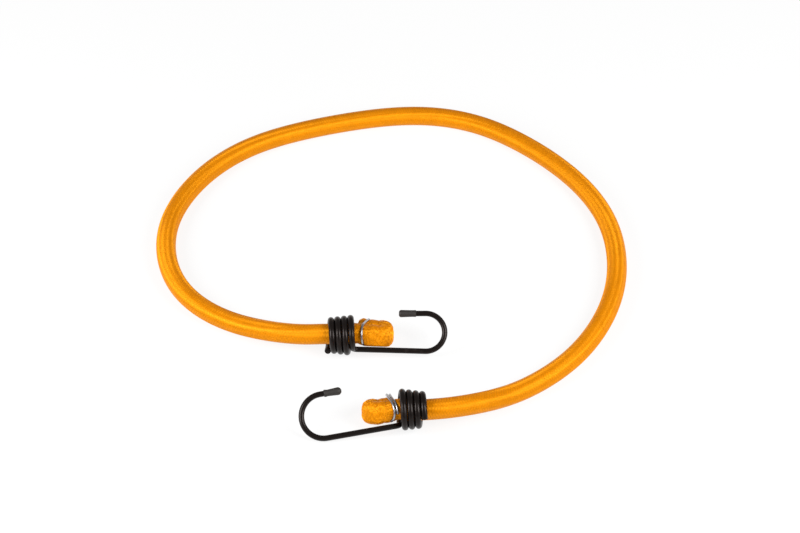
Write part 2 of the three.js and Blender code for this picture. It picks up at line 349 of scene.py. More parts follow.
def end_point(end, a, c, b=0.0):
    """The point a along an end from its ring, c across to the folded-back leg and b up."""
    droop = end["fold_droop"] * min(max((a - ring_reach) / (fold_centre - ring_reach), 0), 1)
    origin = vec(end["ring_x"], end["axis_y"], axis_height)
    return origin + a * end_along(end) + c * aside + (b - droop) * end_up


def directions(points):
    before = np.vstack([points[:1], points[:-1]])
    after = np.vstack([points[1:], points[-1:]])
    return unit(after - before)


def smooth_line(points):
    """A smooth curve through the points: many points on it, and where the given ones are."""
    samples = line_steps_per_point
    points = np.array(points)
    step = np.linalg.norm(np.diff(points, axis=0), axis=1)
    slope = np.diff(points, axis=0) / step[:, None]
    count = len(points)
    system = np.eye(count)
    wanted = np.zeros((count, 3))
    for i in range(1, count - 1):
        system[i, i - 1 : i + 2] = step[i - 1], 2 * (step[i - 1] + step[i]), step[i]
        wanted[i] = 6 * (slope[i] - slope[i - 1])
    bend = np.linalg.solve(system, wanted)
    pieces = []
    for i in range(count - 1):
        done = np.linspace(0, step[i], samples, endpoint=False)[:, None]
        left = step[i] - done
        first = bend[i] * left**3 / (6 * step[i])
        second = bend[i + 1] * done**3 / (6 * step[i])
        start = (points[i] / step[i] - bend[i] * step[i] / 6) * left
        stop = (points[i + 1] / step[i] - bend[i + 1] * step[i] / 6) * done
        pieces.append(first + second + start + stop)
    line = np.vstack([*pieces, points[-1:]])
    return line, np.arange(count) * samples


def distances_along(line):
    return np.concatenate([[0], np.cumsum(np.linalg.norm(np.diff(line, axis=0), axis=1))])


def carried_up(points, first_up):
    """Directions along a line, and its first up direction carried along it without a twist."""
    along = directions(points)
    ups = []
    up = first_up
    for direction in along:
        up = unit(up - direction * np.dot(up, direction))
        ups.append(up)
    return along, np.array(ups)


# ---------------------------------------------------------------- meshes


def add_mesh(name, points, faces, uvs=None, smooth=True):
    mesh = bpy.data.meshes.new(name)
    mesh.from_pydata(points, [], faces)
    mesh.polygons.foreach_set("use_smooth", [smooth] * len(mesh.polygons))
    if uvs is not None:
        layer = mesh.uv_layers.new(name="surface")
        layer.data.foreach_set("uv", np.array(uvs, np.float32).ravel())
    mesh.validate()
    mesh.update()
    made = bpy.data.objects.new(name, mesh)
    bpy.context.collection.objects.link(made)
    return made


def skin(name, loops, lengths):
    """A closed tube through loops of points, with lengths and shares round it as its UV map."""
    loops = np.array(loops)
    rows, count = loops.shape[:2]
    row, column = np.meshgrid(np.arange(rows - 1), np.arange(count), indexing="ij")
    row, column = row.ravel(), column.ravel()
    following = (column + 1) % count
    corners = [
        row * count + column,
        row * count + following,
        (row + 1) * count + following,
        (row + 1) * count + column,
    ]
    faces = np.stack(corners, axis=1).tolist()
    lengths = np.asarray(lengths)
    share, next_share = column / count, (column + 1) / count
    start, stop = lengths[row], lengths[row + 1]
    corner_uvs = [(start, share), (start, next_share), (stop, next_share), (stop, share)]
    uvs = np.stack([np.stack(pair, axis=1) for pair in corner_uvs], axis=1).reshape(-1, 2).tolist()
    points = loops.reshape(-1, 3).tolist()
    for loop, length, turned in ((0, lengths[0], True), (rows - 1, lengths[-1], False)):
        centre = len(points)
        points.append(loops[loop].mean(axis=0).tolist())
        for i in range(count):
            edge = [loop * count + i, loop * count + (i + 1) % count]
            around = [(length, i / count), (length, (i + 1) / count)]
            if turned:
                edge.reverse()
                around.reverse()
            faces.append([*edge, centre])
            uvs += [*around, (length, (i + 0.5) / count)]
    return add_mesh(name, points, faces, uvs)


# ---------------------------------------------------------------- the cord's line and sections


def end_stations(end):
    """The cord from its cut end round the fold to the back of the coil.

    Each station has its middle, outer, inner and wide half sizes, power, lean and lumps.
    """
    stations = []

    def add(a, c, outer, inner, wide, power, lumps=1.0, rise=0.0):
        lean = 1.0
        stations.append((end_point(end, a, c, rise), outer, inner, wide, power, lean, lumps))

    flap = (pinched_outer, leg_inner, end["flap_width"], squeezed_power)
    pinched = (pinched_outer, leg_inner, pinched_width, squeezed_power)
    leg = (leg_outer, leg_inner, end["leg_width"], squeezed_power)
    front_leg = (leg_outer, leg_inner, end["front_leg_width"], squeezed_power)
    fold = (fold_outer, fold_inner, end["fold_width"], end["fold_power"])
    round_cord = (cord_radius, cord_radius, cord_radius, round_power)
    add(-end["leg_past_ring"], leg_spacing, *flap, rise=end["flap_rise"])
    add(pinch_place / 2, leg_spacing, *pinched, rise=-end["pinch_dip"])
    add(ring_reach, leg_spacing, *leg, rise=-end["leg_dip"])
    for step in range(fold_steps + 1):
        angle = math.pi * step / fold_steps
        a = fold_centre + leg_spacing / 2 * math.sin(angle)
        c = leg_spacing / 2 * (1 + math.cos(angle))
        fullness = (1 + math.sin(angle)) / 2
        start = leg if step <= fold_steps / 2 else front_leg
        drop = end["front_leg_drop"] + (end["leg_dip"] - end["front_leg_drop"]) * c / leg_spacing
        add(a, c, *(x + (y - x) * fullness for x, y in zip(start, fold)), rise=-drop)
    for a in (ring_reach, bulge_start):
        add(a, 0, *front_leg, rise=-end["front_leg_drop"])
    add(-pinch_place, 0, *pinched)
    add(-end["coil_to_ring"] - coil_pitch, 0, *round_cord, lumps=coil_mouth_lumps)
    add(-end["coil_to_ring"] - end["coil_turns"] * coil_pitch, 0, *round_cord, lumps=0.0)
    return stations


def cord_stations():
    """The whole cord's stations, from the cut end at hook a to the one at hook b."""
    first = end_stations(ends["a"])
    last = end_stations(ends["b"])[::-1]
    top = route[0][2]
    free = []
    for point in route:
        lean, lumps = (point[2] - lying_height) / (top - lying_height), 0.0
        round_cord = (cord_radius, cord_radius, cord_radius, round_power)
        free.append((vec(*point), *round_cord, lean, lumps))
    return first + free + last


def smoothed(values, lengths, width):
    """Rounds off the corners of values along the line, over about the given width."""
    spacing = 2 * width / (smoothing_taps + 1)
    even = np.linspace(0, lengths[-1], round(lengths[-1] / spacing))
    resampled = np.stack([np.interp(even, lengths, column) for column in values.T], axis=1)
    window = np.hanning(smoothing_taps + 2)[1:-1]
    window /= window.sum()
    beyond = smoothing_taps // 2
    padded = np.pad(resampled, ((beyond, beyond), (0, 0)), mode="edge")
    columns = [np.convolve(column, window, mode="valid") for column in padded.T]
    return even, np.stack(columns, axis=1)


stations = cord_stations()
cord_line, station_places = smooth_line([station[0] for station in stations])
cord_lengths = distances_along(cord_line)
station_lengths = cord_lengths[station_places]
station_values = np.array([station[1:] for station in stations])
line_values = np.stack(
    [np.interp(cord_lengths, station_lengths, column) for column in station_values.T], axis=1
)
value_lengths, value_table = smoothed(line_values, cord_lengths, section_smoothing)
# an end's third station from the coil's back is the one on the front leg beside its ring
end_count = len(end_stations(ends["a"]))
ring_a_length = station_lengths[end_count - 3]
ring_b_length = station_lengths[-end_count + 2]
cord_length = cord_lengths[-1]


def centres_at(lengths):
    return np.stack([np.interp(lengths, cord_lengths, axis) for axis in cord_line.T], axis=1)


def sections_at(lengths):
    """Centres, directions across and up, and half sizes of the cord at each length."""
    lengths = np.asarray(lengths)
    centres = centres_at(lengths)
    ahead = centres_at(np.minimum(lengths + direction_reach, cord_length))
    behind = centres_at(np.maximum(lengths - direction_reach, 0))
    along = unit(ahead - behind)
    columns = [np.interp(lengths, value_lengths, column) for column in value_table.T]
    outer, inner, wide, power, lean, lumps = columns
    up = unit(world_up + lean[:, None] * (end_up - world_up))
    across = unit(np.cross(up, along))
    up = np.cross(along, across)
    return centres, along, across, up, outer, inner, wide, power, lumps


# ---------------------------------------------------------------- lines of the rings and hooks


def ring_line(end):
    """Centre line of a clamping ring: round both legs of the fold, a little more than once."""
    steps = round(ring_turns * ring_steps_per_turn)
    crossing = math.sin(ring_crossing_angle)
    points = []
    for i in range(steps + 1):
        turn = i / ring_steps_per_turn
        angle = end["ring_start"] + 2 * math.pi * turn
        side = min(max(math.cos(angle) / crossing, -1), 1)
        c = ring_half_thickness * math.cos(angle) + leg_spacing * (1 + side) / 2
        b = end["ring_top" if math.sin(angle) > 0 else "ring_bottom"] * math.sin(angle)
        wound = end["ring_winding"] * ring_pitch * (turn - ring_turns / 2)
        off_middle = 2 * c / leg_spacing - 1
        curved = off_middle - end["ring_tilt_curve"] * off_middle**2
        a = end["ring_slip"] + wound + end["ring_tilt_share"] * leg_spacing / 2 * curved
        a += end["ring_bow_top" if b > 0 else "ring_bow_bottom"] * math.sin(angle) ** 2
        points.append(end_point(end, a, c, b))
    return np.array(points)


ring_lines = {letter: ring_line(end) for letter, end in ends.items()}


def coil_steps(end):
    return round(end["coil_turns"] * coil_steps_per_turn)


def hook_line(end):
    """Centre line of a hook from its cut end to its tip, with the tip and the direction there."""
    along = end_along(end)
    facing = vec(0, -math.sin(hook_lean), math.cos(hook_lean))
    tip_side = vec(0, math.cos(hook_lean), math.sin(hook_lean))
    shank_side = -tip_side
    quarter = np.cross(along, facing)
    shank_angle = math.pi / 2 if np.dot(quarter, shank_side) > 0 else 3 * math.pi / 2
    swept = 2 * math.pi * end["coil_turns"]

    # the coil hangs a little down and forward on the cord
    sag = end["coil_sag"] * unit(vec(0, -1, -1))
    closing_start = 1 - closing_turn_share / end["coil_turns"]

    def coil_point(share):
        angle = shank_angle - swept * (1 - share)
        closed = min(max((share - closing_start) / (1 - closing_start), 0), 1)
        closing = closed * closed * (3 - 2 * closed)
        radius = coil_radius_back + (coil_radius_mouth - coil_radius_back) * share
        radius -= end["shank_inset"] * closing
        a = -end["coil_to_ring"] - coil_pitch * end["coil_turns"] * (1 - share)
        round_axis = facing * math.cos(angle) + quarter * math.sin(angle)
        return end_point(end, a, 0) + sag + radius * round_axis

    bend_share = 1 - shank_bend_radius / (coil_radius_mouth * swept)
    steps = coil_steps(end)
    coil = [coil_point(bend_share * i / steps) for i in range(steps + 1)]
    cut_end = coil[0] + unit(coil[0] - coil[1]) * 2 * wire_radius
    splay = end["shank_splay"]
    shank_direction = along * math.cos(splay) + shank_side * math.sin(splay)
    corner = coil_point(1)
    shank_start = corner + shank_direction * shank_bend_radius
    turn = []
    for i in range(1, shank_bend_steps + 1):
        t = i / shank_bend_steps
        turn.append(coil[-1] * (1 - t) ** 2 + corner * 2 * t * (1 - t) + shank_start * t**2)
    bend_start = shank_start + shank_direction * end["shank_length"]
    inside = along * math.sin(splay) + tip_side * math.cos(splay)
    centre = bend_start + inside * end["bend_radius"]
    bend = []
    for i in range(hook_bend_steps + 1):
        angle = end["bend_sweep"] * i / hook_bend_steps
        spoke = shank_direction * math.sin(angle) - inside * math.cos(angle)
        bend.append(centre + end["bend_radius"] * spoke)
    sweep = end["bend_sweep"]
    tip_direction = shank_direction * math.cos(sweep) + inside * math.sin(sweep)
    tip = bend[-1] + tip_direction * (end["tip_length"] - cap_end_wall - cap_clearance)
    shank = [shank_start + (bend_start - shank_start) * t for t in np.linspace(0, 1, shank_steps)]
    straight = [bend[-1] + (tip - bend[-1]) * t for t in (0.25, 0.5, 0.75, 1)]
    points = np.array([cut_end, *coil, *turn[:-1], *shank, *bend[1:], *straight])
    return points, tip, tip_direction


def shank_line(end):
    """The straight part of a hook's centre line."""
    points, _, _ = hook_line(end)
    first = coil_steps(end) + 1 + shank_bend_steps
    return points[first : first + shank_steps]


# ---------------------------------------------------------------- the braided cover


def wrapped(values, half):
    return (values + half) % (2 * half) - half


def braid_height(u, v):
    """Height of the braid, at u ridges along the cord and the share v round it."""
    a = u + yarns_each_way * v
    b = u - yarns_each_way * v
    first, second = np.floor(a), np.floor(b)

    def yarn(place, crossing):
        crown = np.sqrt(np.maximum(1 - (yarn_curve * (place - 0.5)) ** 2, 0))
        lift = np.cos(np.pi / yarn_float * wrapped(crossing, yarn_float))
        return yarn_round * (crown - 1) + yarn_lift * lift

    one_way = yarn(a - first, first - b)
    other_way = yarn(b - second, a - second - crossing_shift)
    return np.maximum(one_way, other_way)


def lump(point, size, seed):
    x, y, z = point
    return noise.noise(Vector((x / size + seed, y / size, z / size)))


def outline_points(lengths, angles):
    """Points on the cord's plain surface, and which way is outwards at each."""
    centres, _, across, up, outer, inner, wide, power, _ = sections_at(lengths)
    cosine, sine = np.cos(angles)[None, :], np.sin(angles)[None, :]
    exponent = (2 / power)[:, None]
    side, height = np.where(cosine > 0, outer[:, None], inner[:, None]), wide[:, None]
    x = side * np.sign(cosine) * np.abs(cosine) ** exponent
    y = height * np.sign(sine) * np.abs(sine) ** exponent
    points = centres[:, None] + x[..., None] * across[:, None] + y[..., None] * up[:, None]
    out_x, out_y = cosine / side, sine / height
    outwards = unit(out_x[..., None] * across[:, None] + out_y[..., None] * up[:, None])
    return points, outwards


def kept_above_zero(room):
    """The room left before a limit. What has too little or none is pressed just inside it."""
    pressed = press_depth * np.exp(np.minimum(room - press_depth, 0) / press_depth)
    return np.where(room < press_depth, pressed, room)


def pressed_on_table(points):
    points[..., 2] = kept_above_zero(points[..., 2])
    return points


def bitten(points, centres):
    """Draws the cover in towards the cord's centres wherever it would lie inside a ring's wire."""
    flat, flat_centres = points.reshape(-1, 3), centres.reshape(-1, 3)
    for line in ring_lines.values():
        near = np.where(np.linalg.norm(flat - line.mean(axis=0), axis=1) < ring_nearby)[0]
        apart = np.linalg.norm(flat[near, None] - line[None], axis=2).min(axis=1)
        inwards = unit(flat_centres[near] - flat[near])
        depth = np.maximum(ring_wire_radius + ring_clearance - apart, 0)
        flat[near] += inwards * depth[:, None]
    return flat.reshape(points.shape)


def clear_of_shank(points):
    """Presses the cover in wherever a hook's shank would cut it as the hook swings."""
    for end in ends.values():
        shank = shank_line(end)
        origin = vec(end["ring_x"], end["axis_y"], axis_height)
        apart = points - origin
        along = apart @ end_along(end)
        radius = np.hypot(apart[..., 1], apart[..., 2])
        shank_apart = shank - origin
        shank_radius = np.hypot(shank_apart[:, 1], shank_apart[:, 2])
        limit = np.interp(along, shank_apart @ end_along(end), shank_radius)
        limit -= wire_radius + shank_clearance
        least, most = end["swing"]
        middle, half = (least + most) / 2, (most - least) / 2
        # the hinges turn about -X, from +Z towards +Y
        turned = np.degrees(np.arctan2(apart[..., 1], apart[..., 2]))
        rest = math.degrees(math.atan2(shank_apart[0, 1], shank_apart[0, 2]))
        off_middle = np.abs(wrapped(turned - rest - middle, 180))
        share = np.clip((half + swing_margin - off_middle) / swing_fade, 0, 1)
        share *= (np.abs(along) < shank_reach) & (radius < cord_diameter)
        pressed = limit - kept_above_zero(limit - radius)
        scale = 1 + share * (pressed / np.maximum(radius, 1e-6) - 1)
        points[..., 1] = origin[1] + apart[..., 1] * scale
        points[..., 2] = origin[2] + apart[..., 2] * scale
    return points


def pleats(points, angles):
    """Depth of the creases that a ring's squeeze gathers in the cover beside it."""
    depth = np.zeros(points.shape[:2])
    for line in ring_lines.values():
        distance = np.linalg.norm(points.mean(axis=1) - line.mean(axis=0), axis=1)
        for i in np.where(distance < pleat_nearby)[0]:
            apart = np.linalg.norm(points[i][:, None] - line[None], axis=2).min(axis=1)
            for j, angle in enumerate(angles):
                sway = pleat_sway * lump(points[i, j], pleat_sway_size, pleat_sway_seed)
                groove = (0.5 + 0.5 * math.cos(pleats_round * angle + sway)) ** 2
                depth[i, j] += pleat_depth * groove * math.exp(-apart[j] / pleat_reach)
    return depth


def braided_surface(lengths, columns):
    """Loops of the braided cover's outer surface at each length."""
    angles = 2 * np.pi * np.arange(columns) / columns
    points, outwards = outline_points(lengths, angles)
    u = (np.asarray(lengths) / ridge_pitch)[:, None]
    v = (np.arange(columns) / columns)[None, :]
    height = braid_height(u, v)
    lumps = sections_at(lengths)[-1]
    for i in np.where(lumps >= least_lumps)[0]:
        for j in range(columns):
            for most, size, seed in cover_lumps:
                height[i, j] += lumps[i] * most * lump(points[i, j], size, seed)
    height -= pleats(points, angles)
    points = points + height[..., None] * outwards
    centres = np.repeat(centres_at(lengths)[:, None], columns, axis=1)
    return pressed_on_table(clear_of_shank(bitten(points, centres)))


def add_free_cord():
    step = ridge_pitch / rows_per_ridge
    first = round(ring_a_length / step)
    last = round(ring_b_length / step)
    lengths = np.arange(first, last + 1) * step
    loops = braided_surface(lengths, columns_round)
    cord = skin("free_cord", loops, lengths / ridge_pitch)
    path = centres_at(np.linspace(lengths[0], lengths[-1], path_points))
    return cord, path, lengths[-1] - lengths[0]


def held_off_coil(points, end):
    """Presses a cut end flat where it would reach the coil."""
    reach = end["outward"] * (points[..., 0] - end["ring_x"]) + end["cut_reach"]
    points[..., 0] = end["ring_x"] + end["outward"] * (kept_above_zero(reach) - end["cut_reach"])
    return points


def add_folded_end(letter):
    """A folded end, from a little behind the seam under its ring to the mouth of its cut end."""
    step = ridge_pitch / rows_per_ridge / end_detail
    if letter == "a":
        lengths = np.arange(round((ring_a_length + seam_overlap) / step), 0, -1) * step
    else:
        start = round((ring_b_length - seam_overlap) / step)
        stop = math.floor(cord_length / step)
        lengths = np.arange(start, stop + 1) * step
    loops = braided_surface(lengths, end_detail * columns_round)
    to_cut = np.abs(lengths - lengths[-1])
    # the cut end is drawn in, so its edge is rounded
    centres = centres_at(lengths)[:, None]
    drawn = 1 - mouth_draw * np.maximum(1 - to_cut / mouth_reach, 0) ** 2
    loops = centres + (loops - centres) * drawn[:, None, None]
    loops = held_off_coil(loops, ends[letter])
    # the wall turns over at the mouth and goes back inside
    mouth = loops[-1]
    middle = mouth.mean(axis=0)
    along = unit(centres_at(lengths[-1:])[0] - centres_at(lengths[-4:-3])[0])
    thickness = cover_wall / cord_radius / drawn[-1]
    turned = []
    for turn in range(1, lip_steps + 1):
        angle = math.pi * turn / lip_steps
        inset = thickness / 2 * (1 - math.cos(angle))
        bulge = cover_wall / 2 * math.sin(angle)
        turned.append(middle + (mouth - middle) * (1 - inset) + along * bulge)
    inside = turned[-1]
    for spread, deep in mouth_lining:
        turned.append(middle + (inside - middle) * spread - along * deep)
    loops = np.concatenate([loops, np.array(turned)])
    direction = 1 if letter == "b" else -1
    more = lengths[-1] + direction * np.arange(1, len(turned) + 1) * lip_row_length
    counted = np.concatenate([lengths, more]) / ridge_pitch
    # the loops of both ends follow the cord's own direction
    if letter == "a":
        loops = loops[::-1]
        counted = counted[::-1]
    return skin(f"folded_end_{letter}", loops, counted)


free_cord, free_path, free_length = add_free_cord()
folded_ends = {letter: add_folded_end(letter) for letter in ends}

# ---------------------------------------------------------------- latex threads

thread_rows = 5
thread_gap = 0.00024
thread_clearance = 0.0004
core_radius = cord_radius - cover_wall
# the threads are a square block without its four corners, whose farthest points bound their pitch
thread_pitch = (core_radius - thread_clearance) / math.hypot(thread_rows / 2, thread_rows / 2 - 1)
thread_side = thread_pitch - thread_gap
thread_corner = 0.00012
# the cut ends and folds take closer steps than the free cord between them
thread_end_reach = 0.045
thread_end_step = 0.0006
thread_free_step = 0.003
# room left for the cover's creases where the threads are squeezed
thread_squeeze_room = 0.0006
# a thread ends at least this far inside the cord, and on average the spread more
thread_least_cut = 0.0002
thread_cut_spread = 0.0003
# what lies within these distances of a ring, along the end and aside, is held off the coil
cut_nearby_along = 0.005
cut_nearby_aside = 0.012


def thread_outline():
    """A square with its corners cut, as pairs of x and y."""
    half, cut = thread_side / 2, thread_side / 2 - thread_corner
    first_half = [(half, -cut), (half, cut), (cut, half), (-cut, half)]
    return np.array(first_half + [(-x, -y) for x, y in first_half])


def add_threads():
    reach = (thread_rows - 1) / 2
    first_bend, last_bend = thread_end_reach, cord_length - thread_end_reach
    spans = [
        (0, first_bend, thread_end_step),
        (first_bend, last_bend, thread_free_step),
        (last_bend, cord_length, thread_end_step),
    ]
    lengths = np.concatenate([np.arange(start, stop, step) for start, stop, step in spans])
    centres, _, across, up, outer, inner, wide, _, _ = sections_at(lengths)
    squeezed = np.minimum(outer, inner) - thread_squeeze_room - cover_wall
    squeeze_x = squeezed / (core_radius - thread_squeeze_room)
    squeeze_y = (wide - cover_wall) / core_radius
    outline = thread_outline()
    threads = []
    for row in np.arange(-reach, reach + 1):
        for column in np.arange(-reach, reach + 1):
            if abs(row) == reach and abs(column) == reach:
                continue
            number = len(threads) + 1
            # each thread is cut a little shorter or longer than the next
            unevenness = 1 + noise.noise(Vector((number * 1.7, 0.3, 0.6)))
            short = thread_least_cut + thread_cut_spread * unevenness
            kept = (lengths > short) & (lengths < cord_length - short)
            x = (column * thread_pitch + outline[:, 0])[None, :] * squeeze_x[kept][:, None]
            y = (row * thread_pitch + outline[:, 1])[None, :] * squeeze_y[kept][:, None]
            loops = centres[kept][:, None] + x[..., None] * across[kept][:, None]
            loops = loops + y[..., None] * up[kept][:, None]
            middles = loops.mean(axis=1)
            for end in ends.values():
                near = np.abs(middles[:, 0] - end["ring_x"]) < cut_nearby_along
                near &= np.abs(middles[:, 1] - end["axis_y"]) < cut_nearby_aside
                loops[near] = held_off_coil(loops[near], end)
            threads.append(skin(f"latex_thread_{number:02d}", loops, lengths[kept]))
    return threads


threads = add_threads()

# ---------------------------------------------------------------- hooks


def wire(name, points, radius, first_up, sides, chamfer):
    """A round wire along a line of points, with a radius for each and its cut ends rounded off."""
    along, up = carried_up(points, first_up)
    across = np.cross(up, along)
    angles = 2 * np.pi * np.arange(sides) / sides
    spokes = np.cos(angles)[None, :, None] * across[:, None]
    spokes = spokes + np.sin(angles)[None, :, None] * up[:, None]
    loops = list(points[:, None] + radius[:, None, None] * spokes)
    lengths = list(distances_along(points))
    for at, sign in ((0, -1), (-1, 1)):
        direction = along[at] * sign
        spoke = spokes[at]
        # the rounding starts its own width before the cut end, so the wire keeps its length
        edge = []
        for angle in (0, 45, 90):
            back = chamfer * (1 - math.sin(math.radians(angle)))
            less = chamfer * (1 - math.cos(math.radians(angle)))
            edge.append(points[at] - direction * back + (radius[at] - less) * spoke)
        reach = [lengths[at] - sign * chamfer, lengths[at] - sign * chamfer / 3, lengths[at]]
        if at == 0:
            loops = edge[::-1] + loops[1:]
            lengths = reach[::-1] + lengths[1:]
        else:
            loops = loops[:-1] + edge
            lengths = lengths[:-1] + reach
    return skin(name, loops, lengths)


def hook_radii(end, count):
    """Half thickness of a hook's wire at each point of its line."""
    coil_stop = coil_steps(end) + 2
    thinning_start = coil_stop - coil_steps_per_turn * closing_turn_share
    thickness = np.interp(np.arange(count), [thinning_start, coil_stop], [1, 0])
    return wire_radius + (coil_wire_radius - wire_radius) * thickness


def add_hook(letter):
    end = ends[letter]
    points, _, _ = hook_line(end)
    first_up = points[1] - end_point(end, 0, 0)
    radii = hook_radii(end, len(points))
    return wire(f"hook_wire_{letter}", points, radii, first_up, wire_sides, wire_chamfer)


hooks = {letter: add_hook(letter) for letter in ends}

# ---------------------------------------------------------------- tip caps


def cap_profile(end):
    """Half outline of a dipped cap from the floor of its bore round its lip to its closed end.

    It is a list of pairs of a radius and a place along the cap.
    """
    bore, lip = wire_radius + cap_wire_gap, cap_lip_height
    lip_radius, waist = end["cap_lip"], end["cap_waist"]
    body_radius, end_radius = end["cap_body"], end["cap_rounding"]
    profile = [(bore, cap_length - cap_end_wall), (bore, lip)]
    middle, half = (bore + lip_radius) / 2, (lip_radius - bore) / 2
    for angle in range(180, -1, -20):
        turned = math.radians(angle)
        profile.append((middle + half * math.cos(turned), lip - lip * math.sin(turned)))
    profile.append((lip_radius, cap_lip_end))
    profile.append(((lip_radius + waist) / 2, cap_neck))
    profile.append((waist, cap_waist_start))
    body_length = cap_length - cap_body_start - end_radius
    for share in (0.2, 0.4, 0.6, 0.8, 1.0):
        radius = waist + (body_radius - waist) * share
        profile.append((radius, cap_body_start + body_length * share))
    flat = body_radius - end_radius
    for angle in range(10, 91, 10):
        turned = math.radians(angle)
        radius = flat + end_radius * math.cos(turned)
        profile.append((radius, cap_length - end_radius + end_radius * math.sin(turned)))
    return profile


def add_cap(letter):
    end = ends[letter]
    _, tip, along = hook_line(end)
    start = tip + along * (cap_clearance - (cap_length - cap_end_wall))
    up = unit(np.cross(along, world_up))
    across = np.cross(up, along)
    angles = 2 * np.pi * np.arange(cap_sides) / cap_sides
    spokes = np.cos(angles)[:, None] * across + np.sin(angles)[:, None] * up
    profile = np.array(cap_profile(end))
    loops = [start + along * place + radius * spokes for radius, place in profile]
    return skin(f"vinyl_cap_{letter}", loops, distances_along(profile))


caps = {letter: add_cap(letter) for letter in ends}

# ---------------------------------------------------------------- clamping rings


def add_ring(letter):
    along = end_along(ends[letter])
    name = f"wire_ring_{letter}"
    line = ring_lines[letter]
    radii = np.full(len(line), ring_wire_radius)
    return wire(name, line, radii, along, ring_wire_sides, ring_chamfer)


rings = {letter: add_ring(letter) for letter in ends}

# ---------------------------------------------------------------- materials


class Tree:
    """Shorthand for the nodes of one material. A node's inputs are given as numbers or sockets."""

    def __init__(self, name):
        self.material = bpy.data.materials.new(name)
        self.material.use_nodes = True
        self.tree = self.material.node_tree
        self.shader = self.tree.nodes["Principled BSDF"]

    def put(self, node, name, value):
        if isinstance(value, bpy.types.NodeSocket):
            self.tree.links.new(value, node.inputs[name])
        else:
            node.inputs[name].default_value = value

    def node(self, kind, values=None, output=0, **settings):
        made = self.tree.nodes.new(f"ShaderNode{kind}")
        for name, value in settings.items():
            setattr(made, name, value)
        for name, value in (values or {}).items():
            self.put(made, name, value)
        return made.outputs[output]

    def math(self, operation, *values):
        return self.node("Math", dict(enumerate(values)), operation=operation)

    def mix(self, share, first, second):
        return self.node("Mix", {0: share, 2: first, 3: second})

    def colours(self, share, first, second):
        return self.node("Mix", {0: share, 6: first, 7: second}, output=2, data_type="RGBA")

    def vector(self, x, y, z=0.0):
        return self.node("CombineXYZ", {0: x, 1: y, 2: z})

    def noise(self, vector, scale, detail=2.0, roughness=0.5):
        values = {"Vector": vector, "Scale": scale, "Detail": detail, "Roughness": roughness}
        return self.node("TexNoise", values)

    def ranged(self, value, low, high, to_low, to_high):
        values = {0: value, 1: low, 2: high, 3: to_low, 4: to_high}
        return self.node("MapRange", values)

    def spread(self, noise_value, to_low, to_high):
        """Spreads a noise, which mostly lies between 0.3 and 0.7, over another range."""
        return self.ranged(noise_value, 0.3, 0.7, to_low, to_high)

    def place(self):
        return self.node("TexCoord", output="Object")

    def surface_place(self):
        """What the UV map holds: the length along a piece and the share round it."""
        split = self.tree.nodes.new("ShaderNodeSeparateXYZ")
        self.put(split, 0, self.node("UVMap", uv_map="surface"))
        return split.outputs[0], split.outputs[1]

    def set(self, **values):
        for name, value in values.items():
            self.put(self.shader, name.replace("_", " "), value)

    def bump(self, height, distance):
        values = {"Height": height, "Distance": distance, "Strength": 1.0}
        self.put(self.shader, "Normal", self.node("Bump", values))


def rgb(red, green, blue):
    return (red, green, blue, 1.0)


def cover_material():
    """Orange polyester braid: yarns of glossy filaments, with painted shade darkening the grooves
    between them and the ends of each float.
    """
    t = Tree("orange_braid")
    u, v = t.surface_place()
    turned = t.math("MULTIPLY", v, yarns_each_way)
    a, b = t.math("ADD", u, turned), t.math("SUBTRACT", u, turned)
    first, second = t.math("FLOOR", a), t.math("FLOOR", b)
    apart = t.math("FLOORED_MODULO", t.math("SUBTRACT", first, second), 2 * yarn_float)
    on_top = t.math("LESS_THAN", apart, yarn_float - 0.5)
    across = t.mix(on_top, t.math("FRACT", b), t.math("FRACT", a))
    along = t.mix(on_top, a, b)
    # the two ways' yarns are numbered apart, so that each yarn has its own tone
    number = t.mix(on_top, t.math("ADD", second, 40.5), first)
    other_crossing = t.math("SUBTRACT", t.math("SUBTRACT", a, second), crossing_shift)
    crossing = t.mix(on_top, other_crossing, t.math("SUBTRACT", first, b))
    float_place = t.math("ABSOLUTE", t.math("WRAP", crossing, yarn_float, -yarn_float))
    groove = t.math("MULTIPLY", t.math("ABSOLUTE", t.math("SUBTRACT", across, 0.5)), 2)
    groove_depth = t.math("POWER", groove, 3)
    filament = t.math("MULTIPLY", across, filaments_across)
    filament_length = t.math("MULTIPLY", along, filament_change)
    filaments = t.noise(t.vector(filament, filament_length, number), 1.0, detail=1.0)
    yarn_tone = t.noise(t.vector(t.math("MULTIPLY", number, 7.31), 0.5), 1.0, detail=0.0)
    spots = t.noise(t.place(), 190.0, detail=3.0)
    # painted shade: darker in the grooves between yarns and at float ends, where a yarn dives
    # under; the filament, yarn and spot tones are the yarns' own
    painted_shade_and_tone = t.ranged(groove_depth, 0.0, 1.0, 1.0, 0.80)
    for tone in (
        t.ranged(float_place, 0.5, 1.0, 1.0, 0.86),
        t.spread(filaments, 0.90, 1.07),
        t.spread(yarn_tone, 0.95, 1.04),
        t.spread(spots, 0.94, 1.05),
    ):
        painted_shade_and_tone = t.math("MULTIPLY", painted_shade_and_tone, tone)
    colour = t.colours(painted_shade_and_tone, rgb(0.60, 0.142, 0.001), rgb(0.88, 0.268, 0.001))
    # the same painted shade and tones also lower the colour's brightness
    brightness = t.ranged(painted_shade_and_tone, 0.5, 1.0, 0.75, 1.0)
    colour = t.node("HueSaturation", {"Value": brightness, "Color": colour})
    t.set(Base_Color=colour, Roughness=t.spread(filaments, 0.50, 0.58))
    t.set(Metallic=0.3, IOR=1.6, Specular_IOR_Level=1.0, Specular_Tint=rgb(1.0, 0.94, 0.08))
    # the gloss is drawn out across the filaments
    t.set(Tangent=t.node("Tangent", direction_type="UV_MAP", uv_map="surface"))
    lean = t.mix(on_top, filament_turn, 1 - filament_turn)
    t.set(Anisotropic=1.0, Anisotropic_Rotation=lean)
    height = t.math("SUBTRACT", t.math("MULTIPLY", filaments, 2.0), groove_depth)
    t.bump(height, 0.00004)
    return t.material


